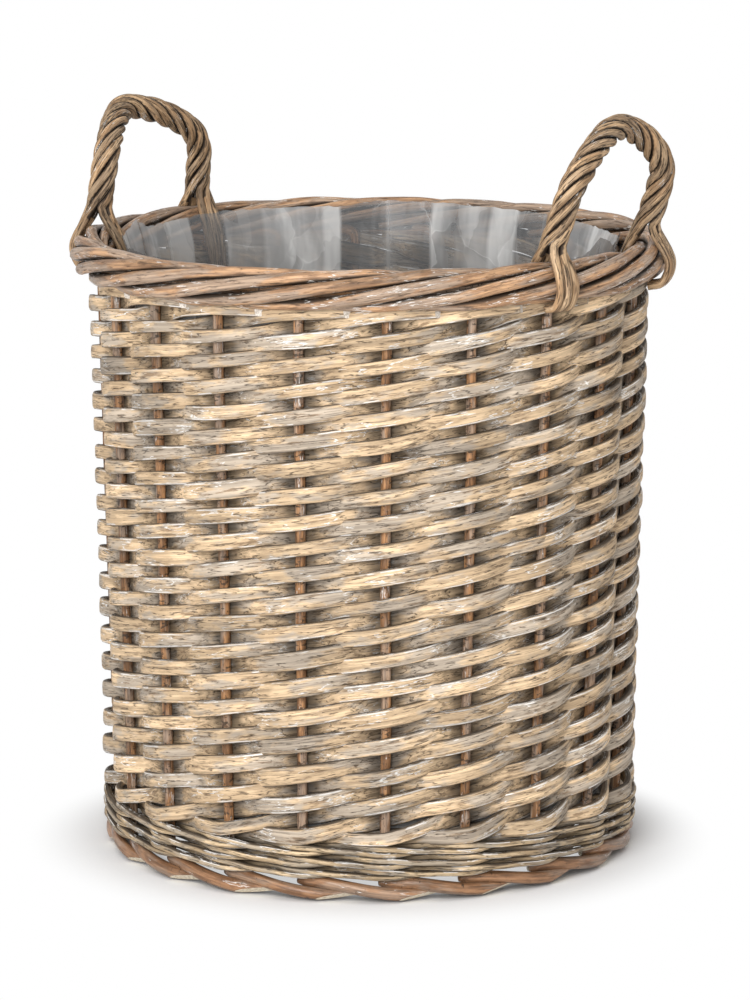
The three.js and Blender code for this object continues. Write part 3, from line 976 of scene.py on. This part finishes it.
baseShape = {
    "height": 26.1,
    "stickRadius": 4.0,
    "gap": 0.4,
    "endRadius": 158.6,
    "openRadius": 40,
    "parallel": 20,
    "lowerSpacing": 12,
    "upperSpacing": 11,
    "weavers": 2,
    "width": 8.6,
    "thickness": 5.2,
    "pitch": 9.2,
    "start": 52,
    "end": 152.6,
    "clearance": 0.6,
    "steps": 8,
    "lowerEnds": (18, 162),  # bearings
    "upperEnds": (54, 90, 126),
    "stickSteps": 60,
    "knotSteps": 8,
    "unevenness": (0.06, 0.08),  # of sticks and weavers
    "corners": 12,
    "boxiness": 2.4,
    "flatness": 0.6,
}


def baseStick(shape, stick):
    drop = shape["stickRadius"] + shape["gap"] / 2
    level = shape["height"]
    half = shape["parallel"]
    if stick < len(shape["lowerEnds"]):
        side = 1 if stick == 0 else -1
        start, end = (bearing * side for bearing in shape["lowerEnds"])
        near = Vector((half, side * shape["lowerSpacing"] / 2, level - drop)) * 0.001
        far = Vector((-half, side * shape["lowerSpacing"] / 2, level - drop)) * 0.001
    else:
        upper = stick - len(shape["lowerEnds"])
        start = shape["upperEnds"][upper]
        end = -start
        offset = (1 - upper) * shape["upperSpacing"]
        near = Vector((offset, half, level + drop)) * 0.001
        far = Vector((offset, -half, level + drop)) * 0.001
    knots = [polar(shape["endRadius"], start, level), polar(shape["openRadius"], start, level), near, far,
             polar(shape["openRadius"], end, level), polar(shape["endRadius"], end, level)]
    path = evenPath(smoothPath(knots, shape["knotSteps"]), shape["stickSteps"])
    uneven = shape["unevenness"][0]
    sizes = [shape["stickRadius"] * 0.001 * (1 + wander(i * 0.1, stick, uneven)) for i in range(len(path))]
    return {"path": path, "sizes": sizes}


def baseWeaver(shape, weaver):
    ends = basket["stakes"] // 2
    swing = shape["stickRadius"] + shape["thickness"] / 2 + shape["clearance"]
    start = shape["start"] + weaver * shape["pitch"]
    last = math.floor((shape["end"] - start) / (shape["weavers"] * shape["pitch"]) * ends)
    path, sizes = [], []
    for i in range(last * shape["steps"] + 1):
        on = i / shape["steps"]
        radius = start + on / ends * shape["weavers"] * shape["pitch"]
        height = shape["height"] + swing * math.cos(math.pi * (on + weaver))
        path.append(polar(radius, (on + 0.5) * 360 / ends, height))
        uneven = 1 + wander(on * 0.4, weaver + 70, shape["unevenness"][1])
        sizes.append(shape["width"] / 2 * 0.001 * uneven)
    return {"path": path, "sizes": sizes}


baseSection = sectionCurve("baseSection", baseShape["corners"], baseShape["boxiness"])
sections.append(baseSection)
for point in baseSection.data.splines[0].points:
    point.co.y *= baseShape["flatness"]
for i in range(len(baseShape["lowerEnds"]) + len(baseShape["upperEnds"])):
    number = f"{i + 1:02d}"
    rodPiece(f"baseStickRod_{number}", [baseStick(baseShape, i)], roundSection, "base",
             f"base_stick_{number}")
for i in range(baseShape["weavers"]):
    number = f"{i + 1:02d}"
    rodPiece(f"baseWeaverRod_{number}", [baseWeaver(baseShape, i)], baseSection, "base",
             f"base_weaver_{number}", twist="Z_UP")
print("base done")

# Film liner

linerShape = {
    "radius": 158.2,
    "flare": 7.0,
    "flareFrom": 0.93,  # share of the height
    "flareOver": 0.07,
    "seat": 36.5,
    "top": 408.5,
    "raggedFrom": 0.9,
    "raggedOver": 0.1,
    "ragged": 1.5,
    "segments": 320,
    "rings": 36,
    "floorRings": (0.97, 0.75, 0.45, 0.15),  # shares of the radius
    "folds": 27,
    "foldDepths": (-2.4, 1.6),
    "foldTops": (-3.5, 2),
    "foldWidth": 0.012,
    "lowFold": 0.25,  # share of a fold's depth that is left at the bottom
    "panels": (  # bearing where each begins, and how milky it is
        (0, 0.7), (30, 0.95), (55, 0.55), (76, 0.2), (84, 0.8), (92, 0.45),
        (107, -0.3), (121, 0.0), (130, 1.0), (134, 0.7), (150, 0.5), (161, 0.0),
        (171, 0.8), (200, 0.9), (214, 0.3), (260, 0.6), (300, 0.4), (335, 0.8),
    ),
    "peaks": (  # bearing, extra height and half width
        (122, 5, 95), (8, 9, 9), (26, 6, 8), (197, 8, 10), (216, 4, 6),
    ),
}
filmLook = {
    # the film's own grey, darkened with painted shade for the dim inside of the basket
    "film": rgb(0.16, 0.164, 0.168),
    "milk": rgb(0.60, 0.595, 0.585),
    # painted highlights along the film's creases and folds
    "creaseHighlight": rgb(0.92, 0.91, 0.89),
    "alpha": 0.52,
    "milkAlpha": 0.33,
    "creaseAlpha": 0.3,
    "roughness": 0.2,
    "specular": 0.3,
    "bump": 0.5,
    "bend": (0.035, 0.06, 0),  # how far the facets' edges wave, m
    "facets": ((25, 14, 0), (3, 1, 0)),  # stretch and shift
    "smallFacets": ((64, 22, 0), (9, 4, 0)),
    "creaseWidth": 0.016,
    "creaseClouds": (0.47, 0.64),
    "milkClouds": (0.42, 0.66),
    "milkRange": (0.16, 0.90),
}


def filmMaterial(look):
    material, start = newMaterial("linerFilm")
    place = start.attribute("filmPlace", 1)
    fold = start.attribute("filmFold")  # 1 on a fold line, where a highlight is painted
    panel = start.attribute("filmPanel")  # more where the film lies double
    clouds = place.stretched((22, 6, 0)).cloud(4, 0.6)
    waves = start.make("TexNoise", {}, {"Vector": place, "Scale": 26.0, "Detail": 3.0}, out=1)
    bent = waves.stretched(look["bend"], place)
    facets = bent.stretched(*look["facets"])
    small = bent.stretched(*look["smallFacets"])
    # painted shade: each facet of the film lighter or darker as if turned to the light
    facetShade = facets.cells("F1", out=1) * 0.6 + small.cells("F1", out=1) * 0.4
    # painted highlights along the creases and fold lines
    creaseHighlight = 1 - facets.cells("DISTANCE_TO_EDGE").between(0.0, look["creaseWidth"])
    white = (creaseHighlight * 0.25 + fold * 0.5) * clouds.between(*look["creaseClouds"])
    # milkier where the film lies double, and painted facet shade
    milky = panel * 0.5 + facetShade * 0.3 + clouds.between(*look["milkClouds"]) * 0.25
    share = milky.between(*look["milkRange"])
    colour = share.blend(look["film"], look["milk"])
    colour = (white * 0.7).blend(colour, look["creaseHighlight"])
    alpha = share * look["milkAlpha"] + white * look["creaseAlpha"] + look["alpha"]
    height = clouds + facetShade * 0.2
    relief = start.make("Bump", {}, {"Strength": look["bump"], "Distance": 0.004, "Height": height})
    sockets = {
        "Base Color": colour,
        "Roughness": look["roughness"],
        "Alpha": alpha,
        "Specular IOR Level": look["specular"],
        "Normal": relief,
    }
    finishMaterial(start, start.make("BsdfPrincipled", {}, sockets))
    return material


def foldLine(knots, bearing, width):  # the offset, straight between folds, and how near a fold is
    for (a, low), (b, high) in zip(knots, knots[1:]):
        if a <= bearing <= b:
            share = (bearing - a) / (b - a)
            near = min(share, 1 - share) * (b - a)
            return mixed(low, high, share), max(0.0, 1 - near / width)
    return knots[0][1], 0.0


def grow(mesh, edges):  # one more ring: its points and its edges
    geom = bmesh.ops.extrude_edge_only(mesh, edges=edges)["geom"]
    verts = [item for item in geom if isinstance(item, bmesh.types.BMVert)]
    return verts, [item for item in geom if isinstance(item, bmesh.types.BMEdge)]


def filmLiner(shape):
    dice = random.Random(basket["seed"])
    turns = sorted(dice.uniform(-math.pi, math.pi) for _ in range(shape["folds"]))
    knots = [(turn, dice.uniform(*shape["foldDepths"])) for turn in turns]
    tops = [(turn, dice.uniform(*shape["foldTops"])) for turn in turns]
    for line in (knots, tops):
        line.insert(0, (line[-1][0] - 2 * math.pi, line[-1][1]))
        line.append((line[1][0] + 2 * math.pi, line[1][1]))
    mesh = bmesh.new()
    radius, low, high = (shape[key] * 0.001 for key in ("radius", "seat", "top"))
    bmesh.ops.create_circle(mesh, cap_ends=False, segments=shape["segments"], radius=radius)
    bmesh.ops.translate(mesh, verts=mesh.verts, vec=(0, 0, low))
    loop = list(mesh.edges)
    for i in range(shape["rings"]):
        verts, loop = grow(mesh, loop)
        bmesh.ops.translate(mesh, verts=verts, vec=(0, 0, (high - low) / shape["rings"]))
    rim = [edge for edge in mesh.edges if edge.is_boundary and edge.verts[0].co.z < low + 1e-6]
    for share in shape["floorRings"]:
        verts, rim = grow(mesh, rim)
        for vert in verts:
            flat = Vector((vert.co.x, vert.co.y, 0)).normalized() * radius * share
            vert.co = (flat.x, flat.y, low)
    bmesh.ops.contextual_create(mesh, geom=rim)
    bmesh.ops.recalc_face_normals(mesh, faces=mesh.faces)
    places, folds, panels = [], [], []
    for vert in mesh.verts:
        bearing = math.atan2(vert.co.y, vert.co.x)
        rise = (vert.co.z - low) / (high - low)
        out = Vector((math.cos(bearing), math.sin(bearing), 0))
        offset, near = foldLine(knots, bearing, shape["foldWidth"])
        degrees = math.degrees(bearing)
        places += [bearing * 0.158, vert.co.z, 0]
        folds.append(near * max(0.0, rise))
        panels.append([share for begin, share in shape["panels"] if begin <= degrees % 360][-1])
        if vert.co.z > low + 1e-6:
            flare = max(0.0, (rise - shape["flareFrom"]) / shape["flareOver"]) ** 1.5
            depth = offset * mixed(shape["lowFold"], 1.0, rise)
            vert.co += out * 0.001 * (depth + shape["flare"] * flare)
            ragged = foldLine(tops, bearing, shape["foldWidth"])[0] + shape["ragged"] * noise.noise(out * 30)
            for peak, extra, half in shape["peaks"]:
                off = (degrees - peak + 180) % 360 - 180
                ragged += extra * max(0.0, 1 - abs(off) / half)
            vert.co.z += 0.001 * ragged * max(0.0, (rise - shape["raggedFrom"]) / shape["raggedOver"])
    data = bpy.data.meshes.new("filmLiner")
    mesh.to_mesh(data)
    mesh.free()
    data.attributes.new("filmPlace", "FLOAT_VECTOR", "POINT").data.foreach_set("vector", places)
    data.attributes.new("filmFold", "FLOAT", "POINT").data.foreach_set("value", folds)
    data.attributes.new("filmPanel", "FLOAT", "POINT").data.foreach_set("value", panels)
    for face in data.polygons:
        face.use_smooth = True
    data.materials.append(filmMaterial(filmLook))
    piece = placed("filmLiner", data)
    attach(piece, "root")
    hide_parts("liner")


filmLiner(linerShape)
print("film liner done")

for section in sections:
    curve = section.data
    bpy.data.objects.remove(section)
    bpy.data.curves.remove(curve)

# Floor, light and background

stageLook = {
    "floor": rgb(0.80, 0.80, 0.80),
    "floorRadius": 9,
    "white": (0.175, 0.235),  # from its middle, m: outward over this range the floor turns plain white
    "shaded": (0.145, 0.165),  # inward over this range the floor under the basket glows, painted light over its shade
    "under": 0.6,  # by this share of glow
    "sky": 0.6,
}
lights = {  # angles from the camera's side, distance and size in m, power in W
    "keyLight": {"azimuth": -14, "elevation": 20, "distance": 2.4, "size": 1.3, "power": 57.5},
    "topLight": {"azimuth": -10, "elevation": 72, "distance": 2.4, "size": 1.2, "power": 9.0},
}
aimHeight = 0.25


def whiteRays(start):  # 1 for the rays that see a white background
    names = ("Is Camera Ray", "Is Glossy Ray", "Is Transmission Ray")
    camera, glossy, through = [start.make("LightPath", {}, {}, out=name) for name in names]
    return camera + glossy + through


def floorMaterial(look):
    material, start = newMaterial("paleFloor")
    spot = start.make("TexCoord", {}, {}, out=3)
    away = start.make("VectorMath", {"operation": "LENGTH"}, {0: spot}, out=1)
    seen = whiteRays(start)
    shade = start.make("BsdfDiffuse", {}, {"Color": look["floor"]})
    glow = start.make("Emission", {}, {"Color": rgb(1, 1, 1), "Strength": 1.0})
    # glows white for seen rays further out, and glows as painted light under the basket
    share = seen * (away.between(*look["white"]) + (1 - away.between(*look["shaded"])) * look["under"])
    finishMaterial(start, start.make("MixShader", {}, {0: share, 1: shade, 2: glow}))
    return material


def makeStage(look):
    mesh = bmesh.new()
    bmesh.ops.create_circle(mesh, cap_ends=True, segments=64, radius=look["floorRadius"])
    data = bpy.data.meshes.new("floor")
    mesh.to_mesh(data)
    mesh.free()
    data.materials.append(floorMaterial(look))
    floor = placed("floor", data)
    world = bpy.data.worlds.new("studio")
    bpy.context.scene.world = world
    world.use_nodes = True
    world.node_tree.nodes.clear()
    start = Wire(world.node_tree)
    plain = start.make("Background", {}, {"Color": rgb(1, 1, 1), "Strength": look["sky"]})
    white = start.make("Background", {}, {"Color": rgb(1, 1, 1), "Strength": 1.0})
    surface = start.make("MixShader", {}, {0: whiteRays(start), 1: plain, 2: white})
    start.make("OutputWorld", {}, {"Surface": surface})


def softLight(name, setup):
    data = bpy.data.lights.new(name, "AREA")
    data.size = setup["size"]
    data.energy = setup["power"]
    light = placed(name, data)
    turn = math.radians(cameraSetup["azimuth"] + setup["azimuth"])
    lift = math.radians(setup["elevation"])
    level = math.cos(lift)
    place = Vector((math.sin(turn) * level, -math.cos(turn) * level, math.sin(lift))) * setup["distance"]
    light.location = place + Vector((0, 0, aimHeight))
    light.rotation_euler = (-place).to_track_quat("-Z", "Y").to_euler()


makeStage(stageLook)
for name, setup in lights.items():
    softLight(name, setup)
bpy.context.scene.view_settings.view_transform = "Standard"
print("stage and lights done")
